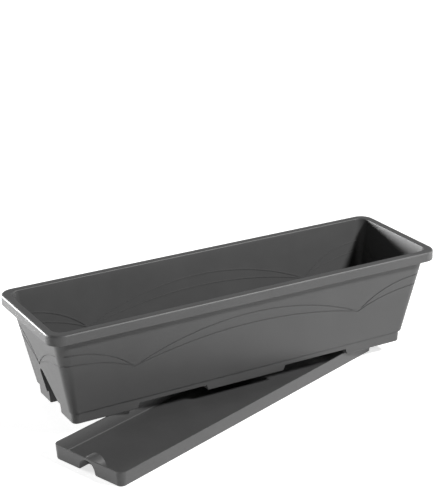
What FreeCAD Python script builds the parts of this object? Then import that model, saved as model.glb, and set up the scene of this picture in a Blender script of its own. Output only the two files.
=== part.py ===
"""Window box planter, standing across its drip tray. Millimetres, +Z up.

The origin is on the floor, under the middle of the planter box. The box's length runs along X.
Each moulding is a solid shell less the space inside it, so its walls follow both outlines.
"""
import FreeCAD
import Part
import Sketcher
import math
import os

doc = FreeCAD.newDocument("window_box_planter")
sheet = doc.addObject("Spreadsheet::Sheet", "Sizes")

SIZES = {
    # Planter box: rim
    "box_length": 600,
    "box_width": 183,
    "box_height": 145,
    "rim_corner": 20,
    "rim_overhang": 8.75,
    "rim_band_height": 14.5,
    "rim_thickness": 2.5,
    "rim_outer_round": 3,
    "rim_inner_round": 1.8,
    "rim_lip_round": 0.8,
    # Planter box: walls, from the step above the skirt up to the rim
    "wall": 2.2,
    "foot_length": 529.5,
    "foot_width": 123.5,
    "foot_corner": 9.5,
    "top_corner": 17,
    # Planter box: skirt and floor
    "skirt_height": 17,
    "skirt_inset": 2.5,
    "skirt_draft": 1,
    "skirt_corner": 7.5,
    "skirt_round": 1.5,
    "floor_thickness": 2.2,
    "floor_round": 2.5,
    # Channels across the underside, which leave three pads
    "channel_from": 60,
    "channel_to": 168.5,
    "channel_slant": 3,
    "channel_height": 8.5,
    "drain_radius": 4,
    "drain_spacing": 36,
    # Slots in the two ends: a wave crest that leans to the back
    "slot_foot_half": 18,
    "slot_knee_half": 16.5,
    "slot_knee_height": 17,
    "slot_head": 6,
    "slot_lean": 17,
    "slot_height": 53.5,
    "slot_depth": 26,
    # Crescent ornament: fine grooves outside, low ridges a little higher inside
    "line_width": 1.7,
    "groove_depth": 0.7,
    "ridge_height": 0.7,
    "ridge_rise": 3.5,
    "skin_overlap": 0.5,
    "tip_x": 177,
    "tip_z": 70.5,
    "end_tip_y": 18.5,
    "end_tip_z": 62,
    "corner_x": 275,
    "corner_y": 67.7,
    "middle_high_z": 110.5,
    "middle_low_z": 94.5,
    "corner_high_z": 109,
    "corner_low_z": 93.5,
    "end_crown_y": 98,
    "end_high_z": 107,
    "end_low_z": 92.5,
    # Drip tray
    "tray_height": 20.5,
    "tray_draft": 1.5,
    "tray_wall": 1.8,
    "tray_floor": 2,
    "tray_round": 1.5,
    "tray_flush_gap": 0.25,
    "niche_side_gap": 1.2,
    "niche_end_gap": 9,
    "niche_flare": 1.5,
    "niche_knee_height": 2,
    "niche_strip": 2.7,
    # How the tray lies under the box
    "tray_turn": 19.4,
    "tray_shift_x": -35.5,
    "tray_shift_y": -59.5,
}

for row, (name, size) in enumerate(SIZES.items(), 1):
    cell = "A" + str(row)
    sheet.set(cell, str(size))
    sheet.setAlias(cell, name)
doc.recompute()


def number(expression):
    """The present value of an expression."""
    result = sheet.evalExpression(expression)
    return float(getattr(result, "Value", result))


# ---------------------------------------------------------------- sketches and features

def new_body(name):
    body = doc.addObject("PartDesign::Body", name)
    body.Label = name
    return body


def origin_plane(body, role):
    return next(item for item in body.Origin.OriginFeatures if item.Role == role)


def new_sketch(body, name, role, distance="0"):
    """A sketch on an origin plane of the body, moved along the plane's normal."""
    sketch = body.newObject("Sketcher::SketchObject", name)
    sketch.AttachmentSupport = [(origin_plane(body, role), "")]
    sketch.MapMode = "FlatFace"
    sketch.setExpression("AttachmentOffset.Base.z", distance)
    return sketch


def join(sketch, *pairs):
    """Make pairs of sketch points coincide."""
    for first, second in pairs:
        sketch.addConstraint(Sketcher.Constraint("Coincident", *first, *second))


def drive(sketch, kind, places, expression):
    """Add a dimension that follows an expression."""
    index = sketch.addConstraint(Sketcher.Constraint(kind, *places, number(expression)))
    sketch.setExpression("Constraints[" + str(index) + "]", expression)


def place_x(sketch, point, expression):
    drive(sketch, "DistanceX", (-1, 1, *point), expression)


def place_y(sketch, point, expression):
    drive(sketch, "DistanceY", (-1, 1, *point), expression)


def rounded_rectangle(body, name, height, length, width, corner):
    """A centred rectangle with round corners, level, at a height."""
    sketch = new_sketch(body, name, "XY_Plane", height)
    radius = number(corner)
    half_x = number(length) / 2
    half_y = number(width) / 2
    arcs = []
    for quarter, (side_x, side_y) in enumerate(((1, 1), (-1, 1), (-1, -1), (1, -1))):
        centre = FreeCAD.Vector(side_x * (half_x - radius), side_y * (half_y - radius), 0)
        circle = Part.Circle(centre, FreeCAD.Vector(0, 0, 1), radius)
        start = quarter * math.pi / 2
        arcs.append(sketch.addGeometry(Part.ArcOfCircle(circle, start, start + math.pi / 2)))
    sides = []
    for quarter, arc in enumerate(arcs):
        following = arcs[(quarter + 1) % 4]
        ends = (sketch.getPoint(arc, 2), sketch.getPoint(following, 1))
        side = sketch.addGeometry(Part.LineSegment(*ends))
        sketch.addConstraint(Sketcher.Constraint("Tangent", arc, 2, side, 1))
        sketch.addConstraint(Sketcher.Constraint("Tangent", side, 2, following, 1))
        direction = "Vertical" if quarter % 2 else "Horizontal"
        sketch.addConstraint(Sketcher.Constraint(direction, side))
        sides.append(side)
    for arc in arcs[1:]:
        sketch.addConstraint(Sketcher.Constraint("Equal", arcs[0], arc))
    sketch.addConstraint(Sketcher.Constraint("Symmetric", arcs[0], 3, arcs[2], 3, -1, 1))
    drive(sketch, "DistanceX", (sides[1], 1, sides[3], 1), length)
    drive(sketch, "DistanceY", (sides[2], 1, sides[0], 1), width)
    drive(sketch, "Radius", (arcs[0],), corner)
    return sketch


def closed_outline(sketch, points):
    """Straight lines round a list of (x, y) expressions, each corner placed by them."""
    spots = [FreeCAD.Vector(number(x), number(y), 0) for x, y in points]
    lines = [sketch.addGeometry(Part.LineSegment(spot, spots[(place + 1) % len(spots)]))
             for place, spot in enumerate(spots)]
    for place, line in enumerate(lines):
        join(sketch, ((line, 2), (lines[(place + 1) % len(lines)], 1)))
    for line, (x, y) in zip(lines, points):
        place_x(sketch, (line, 1), x)
        place_y(sketch, (line, 1), y)
    return lines


def crest(body, name, distance, foot_half, knee, head, lean, top):
    """A wave crest on a plane across X: a flat foot, a knee in front and a round head.

    The knee is a (half width, height) pair. The head leans from the middle towards +Y.
    """
    sketch = new_sketch(body, name, "YZ_Plane", distance)
    foot = number(foot_half)
    radius = number(head)
    centre = FreeCAD.Vector(number(lean), number(top) - radius, 0)
    back_foot = FreeCAD.Vector(foot, 0, 0)
    front_foot = FreeCAD.Vector(-foot, 0, 0)
    front_knee = FreeCAD.Vector(-number(knee[0]), number(knee[1]), 0)
    touches = []
    for spot, side in ((back_foot, 1), (front_knee, -1)):
        away = spot - centre
        touches.append(math.atan2(away.y, away.x) + side * math.acos(radius / away.Length))
    first, last = touches[0], touches[1] % (2 * math.pi)
    circle = Part.Circle(centre, FreeCAD.Vector(0, 0, 1), radius)
    round_head = sketch.addGeometry(Part.ArcOfCircle(circle, first, last))
    ends = (sketch.getPoint(round_head, 1), sketch.getPoint(round_head, 2))
    spots = [ends[0], back_foot, front_foot, front_knee, ends[1]]
    back, base, flare, front = [sketch.addGeometry(Part.LineSegment(*pair)) for pair in zip(spots, spots[1:])]
    join(sketch, ((back, 2), (base, 1)), ((base, 2), (flare, 1)), ((flare, 2), (front, 1)))
    sketch.addConstraint(Sketcher.Constraint("Tangent", round_head, 1, back, 1))
    sketch.addConstraint(Sketcher.Constraint("Tangent", front, 2, round_head, 2))
    drive(sketch, "Radius", (round_head,), head)
    place_x(sketch, (round_head, 3), lean)
    place_y(sketch, (round_head, 3), top + " - " + head)
    sketch.addConstraint(Sketcher.Constraint("Symmetric", base, 1, base, 2, -1, 1))
    sketch.addConstraint(Sketcher.Constraint("Horizontal", base))
    place_x(sketch, (base, 1), foot_half)
    place_x(sketch, (flare, 2), "-1 * " + knee[0])
    place_y(sketch, (flare, 2), knee[1])
    return sketch


def loft(body, kind, name, *sketches):
    """A loft with straight sides through level sketches."""
    feature = body.newObject("PartDesign::" + kind + "Loft", name)
    feature.Profile = sketches[0]
    feature.Sections = list(sketches[1:])
    feature.Ruled = True
    doc.recompute()
    return feature


def extrude(body, kind, name, sketch, length, way="one side", reverse=False):
    """A Pad or Pocket, on one side of its sketch or on both."""
    feature = body.newObject("PartDesign::" + kind, name)
    feature.Profile = sketch
    feature.setExpression("Length", length)
    feature.SideType = "Symmetric" if way == "both sides" else "One side"
    feature.Reversed = reverse
    doc.recompute()
    return feature


def flared_pad(body, name, foot, height, draft):
    """A Pad upwards from a level sketch, whose sides lean out by the draft over its height."""
    pad = extrude(body, "Pad", name, foot, height)
    pad.setExpression("TaperAngle", "atan((" + draft + ") / (" + height + "))")
    doc.recompute()
    return pad


def mirror(body, name, features, role):
    copy = body.newObject("PartDesign::Mirrored", name)
    copy.Originals = features
    copy.MirrorPlane = (origin_plane(body, role), [""])
    body.Tip = copy
    doc.recompute()
    return copy


def round_edges(body, name, feature, radius, wanted):
    """Fillet the edges of a feature whose bounding box passes a test."""
    names = ["Edge" + str(count) for count, edge in enumerate(feature.Shape.Edges, 1)
             if wanted(edge.BoundBox)]
    fillet = body.newObject("PartDesign::Fillet", name)
    fillet.Base = (feature, names)
    fillet.setExpression("Radius", radius)
    doc.recompute()
    return fillet


def level(height):
    """A test for edges that lie level at a height."""
    def lies_level(box):
        return abs(box.ZMin - height) < 0.01 and abs(box.ZMax - height) < 0.01
    return lies_level


def boolean(kind, name, base, tool):
    feature = doc.addObject("Part::" + kind, name)
    feature.Base = base
    feature.Tool = tool
    feature.Refine = True
    doc.recompute()
    return feature


# ---------------------------------------------------------------- shared outlines of the box

TOP_LENGTH = "(Sizes.box_length - 2 * Sizes.rim_overhang)"
TOP_WIDTH = "(Sizes.box_width - 2 * Sizes.rim_overhang)"
SKIRT_FOOT_LENGTH = "(Sizes.foot_length - 2 * Sizes.skirt_inset - 2 * Sizes.skirt_draft)"
SKIRT_FOOT_WIDTH = "(Sizes.foot_width - 2 * Sizes.skirt_inset - 2 * Sizes.skirt_draft)"
SLOT_BACK = "(" + SKIRT_FOOT_LENGTH + " / 2 - Sizes.slot_depth)"


def wall_section(body, name, height, depth):
    """The box's wall at one of its two driving heights, a depth inside its outer face."""
    length, width, corner, z = {
        "top": (TOP_LENGTH, TOP_WIDTH, "Sizes.top_corner", "Sizes.box_height"),
        "foot": ("Sizes.foot_length", "Sizes.foot_width", "Sizes.foot_corner", "Sizes.skirt_height"),
    }[height]
    shrink = " - 2 * (" + depth + ")"
    return rounded_rectangle(body, name, z, length + shrink, width + shrink, corner + " - (" + depth + ")")


def wall_loft(body, kind, name, depth):
    """The box's tapering wall from the skirt's step to the rim's top, a depth inside its outer face."""
    return loft(body, kind, name,
                wall_section(body, name + "_foot", "foot", depth),
                wall_section(body, name + "_top", "top", depth))


def channel(body, kind, name, grow):
    """One trapezoid channel across the underside on each side of the middle."""
    sketch = new_sketch(body, name + "_outline", "XZ_Plane")
    low_in = "Sizes.channel_from - " + grow
    low_out = "Sizes.channel_to + " + grow
    height = "Sizes.channel_height + " + grow
    closed_outline(sketch, ((low_in, "0"), (low_out, "0"),
                            (low_out + " - Sizes.channel_slant", height),
                            (low_in + " + Sizes.channel_slant", height)))
    right = extrude(body, kind, name + "_right", sketch, "Sizes.box_width", "both sides")
    return mirror(body, name + "_left", [right], "YZ_Plane")


def end_slots(body, kind, name, grow):
    """The end slots of the box, or the humps that they make inside it."""
    sketch = crest(body, name + "_outline", SLOT_BACK + " - " + grow,
                   "(Sizes.slot_foot_half + " + grow + ")",
                   ("(Sizes.slot_knee_half + " + grow + ")", "Sizes.slot_knee_height"),
                   "(Sizes.slot_head + " + grow + ")", "Sizes.slot_lean", "Sizes.slot_height + " + grow)
    right = extrude(body, kind, name + "_right", sketch, "Sizes.box_length", reverse=True)
    return mirror(body, name + "_left", [right], "YZ_Plane")


# ---------------------------------------------------------------- crescent ornament

def wave_line(body, name, role, knots, crown=""):
    """One ornament line through (x, z) expressions on its upper edge, from left to right.

    Between a tip and a peak it is an arc, level at the peak, or else at a crown this far from the middle.
    """
    sketch = new_sketch(body, name, role)
    width = number("Sizes.line_width")
    spots = [(number(x), number(z)) for x, z in knots]
    upper = []
    lower = []
    for start, end in zip(spots, spots[1:]):
        for edges, drop in ((upper, 0), (lower, width)):
            edges.append(sketch.addGeometry(wave_piece(start, end, drop, crown)))
    for place, (edge, beneath) in enumerate(zip(upper, lower)):
        first, last = piece_ends(spots[place], spots[place + 1])
        if is_level(spots[place], spots[place + 1]):
            sketch.addConstraint(Sketcher.Constraint("Horizontal", edge))
            sketch.addConstraint(Sketcher.Constraint("Horizontal", beneath))
        else:
            falls = spots[place][1] > spots[place + 1][1]
            peak = first if falls else last
            if crown:
                place_x(sketch, (edge, 3), ("-1 * " if falls else "") + crown)
            else:
                sketch.addConstraint(Sketcher.Constraint("Vertical", edge, 3, edge, peak))
            sketch.addConstraint(Sketcher.Constraint("Vertical", edge, peak, beneath, peak))
            join(sketch, ((edge, 3), (beneath, 3)))
            drive(sketch, "DistanceY", (beneath, peak, edge, peak), "Sizes.line_width")
        if place:
            before = piece_ends(spots[place - 1], spots[place])[1]
            join(sketch, ((upper[place - 1], before), (edge, first)),
                 ((lower[place - 1], before), (beneath, first)))
    close_wave(sketch, knots, spots, upper, lower)
    return sketch


def is_level(start, end):
    return start[1] == end[1]


def wave_piece(start, end, drop, crown):
    """The arc or level line between two knots, a drop nearer to the arc's centre."""
    if is_level(start, end):
        return Part.LineSegment(FreeCAD.Vector(start[0], start[1] - drop, 0),
                                FreeCAD.Vector(end[0], end[1] - drop, 0))
    tip, peak = sorted((start, end), key=lambda spot: spot[1])
    top_x = math.copysign(number(crown), peak[0]) if crown else peak[0]
    reach = (tip[0] - top_x) ** 2 - (peak[0] - top_x) ** 2
    centre_z = (peak[1] + tip[1] - reach / (peak[1] - tip[1])) / 2
    radius = math.hypot(tip[0] - top_x, tip[1] - centre_z)
    circle = Part.Circle(FreeCAD.Vector(top_x, centre_z, 0), FreeCAD.Vector(0, 0, 1), radius - drop)
    angles = [math.atan2(z - centre_z, x - top_x) for x, z in (tip, peak)]
    return Part.ArcOfCircle(circle, *sorted(angles))


def piece_ends(start, end):
    """Which end of a piece lies at its first knot and which at its second; arcs run anticlockwise."""
    return (1, 2) if is_level(start, end) else (2, 1)


def close_wave(sketch, knots, spots, upper, lower):
    """Place the upper knots and close the line's two ends."""
    inner = piece_ends(spots[0], spots[1])[0]
    outer = piece_ends(spots[-2], spots[-1])[1]
    if knots[0][0] == "0":
        sketch.addConstraint(Sketcher.Constraint("PointOnObject", upper[0], inner, -2))
    else:
        place_x(sketch, (upper[0], inner), knots[0][0])
    place_y(sketch, (upper[0], inner), knots[0][1])
    for place, (x, z) in enumerate(knots[1:]):
        last = piece_ends(spots[place], spots[place + 1])[1]
        place_x(sketch, (upper[place], last), x)
        if not is_level(spots[place], spots[place + 1]):
            place_y(sketch, (upper[place], last), z)
    for place, spot in ((0, inner), (-1, outer)):
        ends = (sketch.getPoint(upper[place], spot), sketch.getPoint(lower[place], spot))
        cap = sketch.addGeometry(Part.LineSegment(*ends))
        join(sketch, ((cap, 1), (upper[place], spot)), ((cap, 2), (lower[place], spot)))
    if is_level(spots[-2], spots[-1]):
        sketch.addConstraint(Sketcher.Constraint("Vertical", cap))


def ornament_prisms(name, rise):
    """The ornament's lines, a rise higher, drawn right through the box: across it and from end to end."""
    body = new_body(name)
    for line in ("high", "low"):
        middle = "Sizes.middle_" + line + "_z + " + rise
        corner = "Sizes.corner_" + line + "_z + " + rise
        across = wave_line(body, name + "_long_wall_" + line, "XZ_Plane", (
            ("0", middle), ("Sizes.tip_x", "Sizes.tip_z + " + rise),
            ("Sizes.corner_x", corner), ("Sizes.corner_x + Sizes.line_width", corner)))
        pad = extrude(body, "Pad", name + "_across_" + line, across, "Sizes.box_width", "both sides")
        mirror(body, name + "_across_left_" + line, [pad], "YZ_Plane")
        edge = "Sizes.end_" + line + "_z + " + rise
        along = wave_line(body, name + "_end_wall_" + line, "YZ_Plane", (
            ("-1 * Sizes.corner_y", edge), ("Sizes.end_tip_y", "Sizes.end_tip_z + " + rise),
            ("Sizes.corner_y", edge)), "Sizes.end_crown_y")
        extrude(body, "Pad", name + "_along_" + line, along, "Sizes.box_length", "both sides")
    return body


def wall_skin(name, outside, inside):
    """A thin layer of the tapering wall between two depths."""
    body = new_body(name)
    wall_loft(body, "Additive", name + "_outside", outside)
    wall_loft(body, "Subtractive", name + "_inside", inside)
    return body


# ---------------------------------------------------------------- planter box

def box_shell():
    """The outer form of the box: hollow-backed rim, tapering walls, skirt, channels and end slots."""
    body = new_body("box_shell")
    rim_low = "Sizes.box_height - Sizes.rim_band_height"
    extrude(body, "Pad", "rim_slab",
            rounded_rectangle(body, "rim_outline", rim_low, "Sizes.box_length", "Sizes.box_width",
                              "Sizes.rim_corner"), "Sizes.rim_band_height")
    extrude(body, "Pocket", "rim_underside",
            rounded_rectangle(body, "rim_underside_outline", rim_low,
                              "Sizes.box_length - 2 * Sizes.rim_thickness",
                              "Sizes.box_width - 2 * Sizes.rim_thickness",
                              "Sizes.rim_corner - Sizes.rim_thickness"),
            "Sizes.rim_band_height - Sizes.rim_thickness", reverse=True)
    wall_loft(body, "Additive", "walls", "0")
    flared_pad(body, "skirt", rounded_rectangle(body, "skirt_foot", "0", SKIRT_FOOT_LENGTH,
                                                SKIRT_FOOT_WIDTH, "Sizes.skirt_corner"),
               "Sizes.skirt_height", "Sizes.skirt_draft")
    base = round_edges(body, "skirt_foot_round", body.Tip, "Sizes.skirt_round", level(0))
    top = round_edges(body, "rim_outer_round", base, "Sizes.rim_outer_round",
                      level(number("Sizes.box_height")))
    lip_length = number("Sizes.box_length - 4 * Sizes.rim_thickness")
    lip_width = number("Sizes.box_width - 4 * Sizes.rim_thickness")
    rim_foot = level(number(rim_low))

    def on_lip(box):
        centre = box.Center
        beyond = abs(centre.x) > lip_length / 2 or abs(centre.y) > lip_width / 2
        return rim_foot(box) and beyond
    round_edges(body, "rim_lip_round", top, "Sizes.rim_lip_round", on_lip)
    channel(body, "Pocket", "channel", "0")
    end_slots(body, "Pocket", "end_slot", "0")
    return body


def box_cavity():
    """The space inside the box, with the humps over the channels and end slots left out of it."""
    body = new_body("box_cavity")
    step = "Sizes.skirt_height + Sizes.wall"
    inside = " - 2 * Sizes.wall"
    flared_pad(body, "skirt_space",
               rounded_rectangle(body, "space_foot", "Sizes.floor_thickness", SKIRT_FOOT_LENGTH + inside,
                                 SKIRT_FOOT_WIDTH + inside, "Sizes.skirt_corner - Sizes.wall"),
               step + " - Sizes.floor_thickness", "Sizes.skirt_draft")
    round_edges(body, "floor_round", body.Tip, "Sizes.floor_round", level(number("Sizes.floor_thickness")))
    share = "((Sizes.wall) / (Sizes.box_height - Sizes.skirt_height))"
    above = " + (" + TOP_LENGTH + " - Sizes.foot_length) * " + share
    above_width = " + (" + TOP_WIDTH + " - Sizes.foot_width) * " + share
    above_corner = " + (Sizes.top_corner - Sizes.foot_corner) * " + share
    loft(body, "Additive", "wall_space",
         rounded_rectangle(body, "space_low", step, "Sizes.foot_length" + inside + above,
                           "Sizes.foot_width" + inside + above_width,
                           "Sizes.foot_corner - Sizes.wall" + above_corner),
         wall_section(body, "space_top", "top", "Sizes.wall"))
    channel(body, "Pocket", "channel_hump", "Sizes.floor_thickness")
    end_slots(body, "Pocket", "end_hump", "Sizes.wall")
    return body


def planter_box():
    """The finished box."""
    hollow = boolean("Cut", "box_hollow", box_shell(), box_cavity())
    grooves = boolean("Common", "ornament_grooves",
                      wall_skin("outer_skin", "-1 * Sizes.skin_overlap", "Sizes.groove_depth"),
                      ornament_prisms("groove_prisms", "0"))
    grooved = boolean("Cut", "box_grooved", hollow, grooves)
    ridges = boolean("Common", "ornament_ridges",
                     wall_skin("inner_skin", "Sizes.wall - Sizes.skin_overlap",
                               "Sizes.wall + Sizes.ridge_height"),
                     ornament_prisms("ridge_prisms", "Sizes.ridge_rise"))
    ridged = boolean("Fuse", "box_ridged", grooved, ridges)
    body = new_body("planter_box")
    body.BaseFeature = ridged
    doc.recompute()
    half_length = number(TOP_LENGTH) / 2
    half_width = number(TOP_WIDTH) / 2
    rim_top = level(number("Sizes.box_height"))

    def on_inner_edge(box):
        return rim_top(box) and abs(box.Center.x) < half_length and abs(box.Center.y) < half_width
    round_edges(body, "rim_inner_round", body.Tip, "Sizes.rim_inner_round", on_inner_edge)
    add_drains(body)
    body.setExpression("Placement.Base.z", "Sizes.tray_height")
    return body


def add_drains(body):
    """Three drain holes along the roof of each channel."""
    sketch = new_sketch(body, "drain_holes", "XY_Plane")
    radius = number("Sizes.drain_radius")
    middle = "(Sizes.channel_from + Sizes.channel_to) / 2"
    for row in (-1, 0, 1):
        spot = FreeCAD.Vector(number(middle), row * number("Sizes.drain_spacing"), 0)
        hole = sketch.addGeometry(Part.Circle(spot, FreeCAD.Vector(0, 0, 1), radius))
        place_x(sketch, (hole, 3), middle)
        if row:
            place_y(sketch, (hole, 3), str(row) + " * Sizes.drain_spacing")
        else:
            sketch.addConstraint(Sketcher.Constraint("PointOnObject", hole, 3, -1))
        drive(sketch, "Radius", (hole,), "Sizes.drain_radius")
    holes = extrude(body, "Pocket", "drains_right", sketch, "Sizes.box_height", reverse=True)
    mirror(body, "drains_left", [holes], "YZ_Plane")


# ---------------------------------------------------------------- drip tray

TRAY_LENGTH = "(Sizes.foot_length - 2 * Sizes.tray_flush_gap)"
TRAY_WIDTH = "(Sizes.foot_width - 2 * Sizes.tray_flush_gap)"
TRAY_CORNER = "(Sizes.foot_corner - Sizes.tray_flush_gap)"


def tray_form(body, name, foot_height, depth):
    """The tray's flared form above a height, a depth inside its outer face."""
    rise = "(Sizes.tray_height - " + foot_height + ")"
    lean = "Sizes.tray_draft / Sizes.tray_height * " + rise
    shrink = "(" + depth + " + " + lean + ")"
    foot = rounded_rectangle(body, name + "_foot", foot_height, TRAY_LENGTH + " - 2 * " + shrink,
                             TRAY_WIDTH + " - 2 * " + shrink, TRAY_CORNER + " - " + shrink)
    return flared_pad(body, name, foot, rise, lean)


def end_niches(body, name, grow):
    """The niches in the tray's ends, or their humps, sized to enter the box's end slots."""
    back = SLOT_BACK + " + Sizes.niche_end_gap + Sizes.tray_wall - " + grow
    foot = "(Sizes.slot_foot_half - Sizes.tray_wall - Sizes.niche_side_gap + " + grow + ")"
    knee = "(" + foot + " - Sizes.niche_flare / 2)"
    head = "(" + foot + " - Sizes.niche_flare)"
    sketch = crest(body, name + "_outline", back, foot, (knee, "Sizes.niche_knee_height"), head, "0",
                   "Sizes.tray_height - Sizes.niche_strip + " + grow)
    right = extrude(body, "Pocket", name + "_right", sketch, "Sizes.box_length", reverse=True)
    return mirror(body, name + "_left", [right], "YZ_Plane")


def drip_tray():
    shell = new_body("tray_shell")
    tray_form(shell, "tray_outside", "0", "0")
    round_edges(shell, "tray_foot_round", shell.Tip, "Sizes.tray_round", level(0))
    end_niches(shell, "niche", "0")
    space = new_body("tray_space")
    tray_form(space, "tray_inside", "Sizes.tray_floor", "Sizes.tray_wall")
    round_edges(space, "tray_inner_round", space.Tip, "Sizes.tray_round", level(number("Sizes.tray_floor")))
    end_niches(space, "niche_hump", "Sizes.tray_wall")
    tray = boolean("Cut", "drip_tray", shell, space)
    tray.Label = "drip_tray"
    tray.setExpression("Placement.Base.x", "Sizes.tray_shift_x")
    tray.setExpression("Placement.Base.y", "Sizes.tray_shift_y")
    tray.setExpression("Placement.Rotation.Angle", "Sizes.tray_turn")
    return tray


# ---------------------------------------------------------------- build, check and write

pieces = [planter_box(), drip_tray()]
doc.recompute()

for item in doc.Objects:
    if "Invalid" in item.State or "Error" in item.State:
        raise RuntimeError(item.Name + " failed: " + ", ".join(item.State))
for piece in pieces:
    if piece.Shape.isNull() or not piece.Shape.isValid():
        raise RuntimeError(piece.Label + " has no valid shape")

os.makedirs("parts", exist_ok=True)
for piece in pieces:
    piece.Shape.exportStep("parts/" + piece.Label + ".step")
    print(piece.Label, "solids", len(piece.Shape.Solids), "volume", round(piece.Shape.Volume))
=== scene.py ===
"""Looks of a window box planter standing across its drip tray: moulded anthracite plastic."""
import math

import bpy
from mathutils import Matrix, Vector


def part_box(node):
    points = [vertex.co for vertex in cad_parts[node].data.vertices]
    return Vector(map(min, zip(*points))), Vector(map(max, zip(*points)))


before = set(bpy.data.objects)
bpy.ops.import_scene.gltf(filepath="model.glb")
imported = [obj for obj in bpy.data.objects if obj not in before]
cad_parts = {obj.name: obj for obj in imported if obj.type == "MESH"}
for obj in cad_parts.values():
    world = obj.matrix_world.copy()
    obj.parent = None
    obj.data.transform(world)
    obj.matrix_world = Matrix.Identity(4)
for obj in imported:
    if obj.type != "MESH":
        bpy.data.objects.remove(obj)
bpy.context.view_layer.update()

# ---------------------------------------------------------------- sizes, in metres

TRAY_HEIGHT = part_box("drip_tray")[1][2]
BOX_HEIGHT = 0.145

# Camera, fitted to the photograph: angles in degrees, pixels of the photograph. It is placed by the
# middle of the box's rim, the target.
IMAGE_WIDTH = 435
IMAGE_HEIGHT = 495
SENSOR = 36.0
FOCAL_PIXELS = 1440.62
AZIMUTH = 29.28
ELEVATION = 20.57
ROLL = -0.73
DISTANCE = 1.9945
TARGET = Vector((0, 0, TRAY_HEIGHT + BOX_HEIGHT))
TARGET_PIXEL = (224.507, 269.813)
CLIP_END = 50

# Plastic: neutral dark grey, satin. Scales count the noise's cells in a metre.
PLASTIC_COLOUR = (0.08, 0.08, 0.08)
PLASTIC_ROUGHNESS = 0.46
PLASTIC_IOR = 1.5
MOTTLE_SCALE = 14
MOTTLE_SPREAD = 0.14
SHEEN_SCALE = 55
SHEEN_SPREAD = 0.05
GRAIN_SCALE = 900
GRAIN_STRENGTH = 0.12
GRAIN_DEPTH = 0.0004
WAVE_SCALE = 9
WAVE_STRENGTH = 0.25
WAVE_DEPTH = 0.002

# Floor and backdrop. The floor glows more from GLOW_FROM outwards, and fully from GLOW_TO.
FLOOR_SIZE = 12
FLOOR_DROP = 0.0002
FLOOR_GREY = 0.8
GLOW_NEAR = 0.7
GLOW_FAR = 1
GLOW_FROM = 0.7
GLOW_TO = 1.6
WORLD_LIGHT = 0.02
WORLD_MIRRORED = 0.4
WORLD_SEEN = 1

# Soft boxes: name, direction and distance from the lit place, width and height, power in watts.
LIT_PLACE = Vector((0, 0, 0.1))
SOFT_BOXES = (
    ("key_box", (0.55, -0.82, 0.78), 3.0, (0.35, 0.35), 86),
    ("left_box", (-0.62, 0.84, 0.08), 2.4, (0.9, 0.5), 128),
    ("fill_box", (0.92, -0.38, 0.02), 3.2, (0.8, 0.2), 38),
)


# ---------------------------------------------------------------- camera

def make_camera():
    """A long lens at the photograph's place."""
    azimuth, elevation, roll = (math.radians(angle) for angle in (AZIMUTH, ELEVATION, ROLL))
    back = Vector((-math.sin(azimuth) * math.cos(elevation), -math.cos(azimuth) * math.cos(elevation),
                   math.sin(elevation)))
    level = Vector((math.cos(azimuth), -math.sin(azimuth), 0))
    rising = back.cross(level)
    right = math.cos(roll) * level + math.sin(roll) * rising
    up = math.cos(roll) * rising - math.sin(roll) * level
    aside = (TARGET_PIXEL[0] - IMAGE_WIDTH / 2) / FOCAL_PIXELS * DISTANCE
    below = (TARGET_PIXEL[1] - IMAGE_HEIGHT / 2) / FOCAL_PIXELS * DISTANCE
    data = bpy.data.cameras.new("photo_camera")
    data.sensor_width = SENSOR
    data.lens = SENSOR * FOCAL_PIXELS / IMAGE_HEIGHT
    data.clip_end = CLIP_END
    camera = bpy.data.objects.new("photo_camera", data)
    bpy.context.collection.objects.link(camera)
    place = TARGET + back * DISTANCE - right * aside + up * below
    turn = Matrix((right, up, back)).transposed()
    camera.matrix_world = Matrix.Translation(place) @ turn.to_4x4()
    bpy.context.scene.camera = camera


# ---------------------------------------------------------------- plastic

def new_material(name):
    material = bpy.data.materials.new(name)
    material.use_nodes = True
    return material, material.node_tree.nodes, material.node_tree.links


def plastic(name):
    """Satin moulded plastic: faint mottling, an uneven sheen, a fine etched grain and slow flow waves."""
    material, nodes, links = new_material(name)
    shader = nodes["Principled BSDF"]
    place = nodes.new("ShaderNodeTexCoord")

    def noise(scale, detail):
        texture = nodes.new("ShaderNodeTexNoise")
        texture.inputs["Scale"].default_value = scale
        texture.inputs["Detail"].default_value = detail
        links.new(place.outputs["Object"], texture.inputs["Vector"])
        return texture.outputs["Fac"]

    def bump(height, strength, depth):
        relief = nodes.new("ShaderNodeBump")
        relief.inputs["Strength"].default_value = strength
        relief.inputs["Distance"].default_value = depth
        links.new(height, relief.inputs["Height"])
        return relief

    shade = nodes.new("ShaderNodeMix")
    shade.data_type = "RGBA"
    shade.inputs[6].default_value = tuple(part * (1 - MOTTLE_SPREAD) for part in PLASTIC_COLOUR) + (1,)
    shade.inputs[7].default_value = tuple(part * (1 + MOTTLE_SPREAD) for part in PLASTIC_COLOUR) + (1,)
    links.new(noise(MOTTLE_SCALE, 4), shade.inputs[0])
    links.new(shade.outputs[2], shader.inputs["Base Color"])
    sheen = nodes.new("ShaderNodeMapRange")
    sheen.inputs["To Min"].default_value = PLASTIC_ROUGHNESS - SHEEN_SPREAD
    sheen.inputs["To Max"].default_value = PLASTIC_ROUGHNESS + SHEEN_SPREAD
    links.new(noise(SHEEN_SCALE, 3), sheen.inputs["Value"])
    links.new(sheen.outputs["Result"], shader.inputs["Roughness"])
    grain = bump(noise(GRAIN_SCALE, 2), GRAIN_STRENGTH, GRAIN_DEPTH)
    wave = bump(noise(WAVE_SCALE, 1), WAVE_STRENGTH, WAVE_DEPTH)
    links.new(grain.outputs["Normal"], wave.inputs["Normal"])
    links.new(wave.outputs["Normal"], shader.inputs["Normal"])
    shader.inputs["IOR"].default_value = PLASTIC_IOR
    return material


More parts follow.
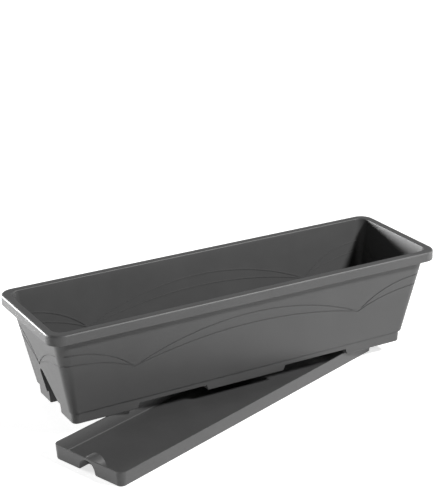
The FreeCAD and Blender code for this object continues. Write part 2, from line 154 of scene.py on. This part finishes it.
def paint_nodes():
    for node, name in (("planter_box", "anthracite_box"), ("drip_tray", "anthracite_tray")):
        material = plastic(name)
        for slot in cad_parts[node].material_slots:
            slot.material = material


# ---------------------------------------------------------------- floor and light

def either(nodes, links, first, second):
    """1 where one of two yes-or-no values is 1."""
    larger = nodes.new("ShaderNodeMath")
    larger.operation = "MAXIMUM"
    links.new(first, larger.inputs[0])
    links.new(second, larger.inputs[1])
    return larger.outputs[0]


def choose(nodes, links, test, otherwise, chosen):
    """One shader where a test is 1, and another where it is 0."""
    mix = nodes.new("ShaderNodeMixShader")
    links.new(test, mix.inputs[0])
    links.new(otherwise, mix.inputs[1])
    links.new(chosen, mix.inputs[2])
    return mix.outputs[0]


def backdrop_material():
    """White to the camera and in reflections, whiter away from the middle, pale grey to the light."""
    material, nodes, links = new_material("backdrop_white")
    nodes.remove(nodes["Principled BSDF"])
    lit = nodes.new("ShaderNodeBsdfDiffuse")
    lit.inputs["Color"].default_value = (FLOOR_GREY, FLOOR_GREY, FLOOR_GREY, 1)
    place = nodes.new("ShaderNodeTexCoord")
    distance = nodes.new("ShaderNodeVectorMath")
    distance.operation = "LENGTH"
    links.new(place.outputs["Object"], distance.inputs[0])
    whiter = nodes.new("ShaderNodeMapRange")
    for socket, value in (("From Min", GLOW_FROM), ("From Max", GLOW_TO),
                          ("To Min", GLOW_NEAR), ("To Max", GLOW_FAR)):
        whiter.inputs[socket].default_value = value
    links.new(distance.outputs["Value"], whiter.inputs["Value"])
    glow = nodes.new("ShaderNodeEmission")
    glow.inputs["Color"].default_value = (1, 1, 1, 1)
    links.new(whiter.outputs["Result"], glow.inputs["Strength"])
    both = nodes.new("ShaderNodeAddShader")
    links.new(lit.outputs[0], both.inputs[0])
    links.new(glow.outputs[0], both.inputs[1])
    path = nodes.new("ShaderNodeLightPath").outputs
    seen = either(nodes, links, path["Is Camera Ray"], path["Is Glossy Ray"])
    seen = either(nodes, links, seen, path["Is Transmission Ray"])
    links.new(choose(nodes, links, seen, lit.outputs[0], both.outputs[0]),
              nodes["Material Output"].inputs["Surface"])
    return material


def make_floor():
    bpy.ops.mesh.primitive_plane_add(size=FLOOR_SIZE, location=(0, 0, -FLOOR_DROP))
    floor = bpy.context.object
    floor.name = "floor"
    floor.data.materials.append(backdrop_material())


def area_light(name, towards, distance, size, power):
    """A soft box at a distance in a direction from the lit place, facing it."""
    data = bpy.data.lights.new(name, "AREA")
    data.shape = "RECTANGLE"
    data.size, data.size_y = size
    data.energy = power
    lamp = bpy.data.objects.new(name, data)
    bpy.context.collection.objects.link(lamp)
    towards = Vector(towards).normalized()
    lamp.location = LIT_PLACE + distance * towards
    lamp.rotation_euler = (-towards).to_track_quat("-Z", "Y").to_euler()


def make_world():
    """White to the camera, dimmer in reflections, and nearly dark as a light."""
    world = bpy.data.worlds.new("studio")
    bpy.context.scene.world = world
    world.use_nodes = True
    nodes = world.node_tree.nodes
    links = world.node_tree.links

    def white(strength):
        background = nodes.new("ShaderNodeBackground")
        background.inputs["Color"].default_value = (1, 1, 1, 1)
        background.inputs["Strength"].default_value = strength
        return background.outputs[0]

    nodes.remove(nodes["Background"])
    path = nodes.new("ShaderNodeLightPath").outputs
    unseen = choose(nodes, links, path["Is Glossy Ray"], white(WORLD_LIGHT), white(WORLD_MIRRORED))
    links.new(choose(nodes, links, path["Is Camera Ray"], unseen, white(WORLD_SEEN)),
              nodes["World Output"].inputs["Surface"])


# ---------------------------------------------------------------- the scene

make_camera()
paint_nodes()
make_floor()
for soft_box in SOFT_BOXES:
    area_light(*soft_box)
make_world()
bpy.context.scene.view_settings.view_transform = "Standard"
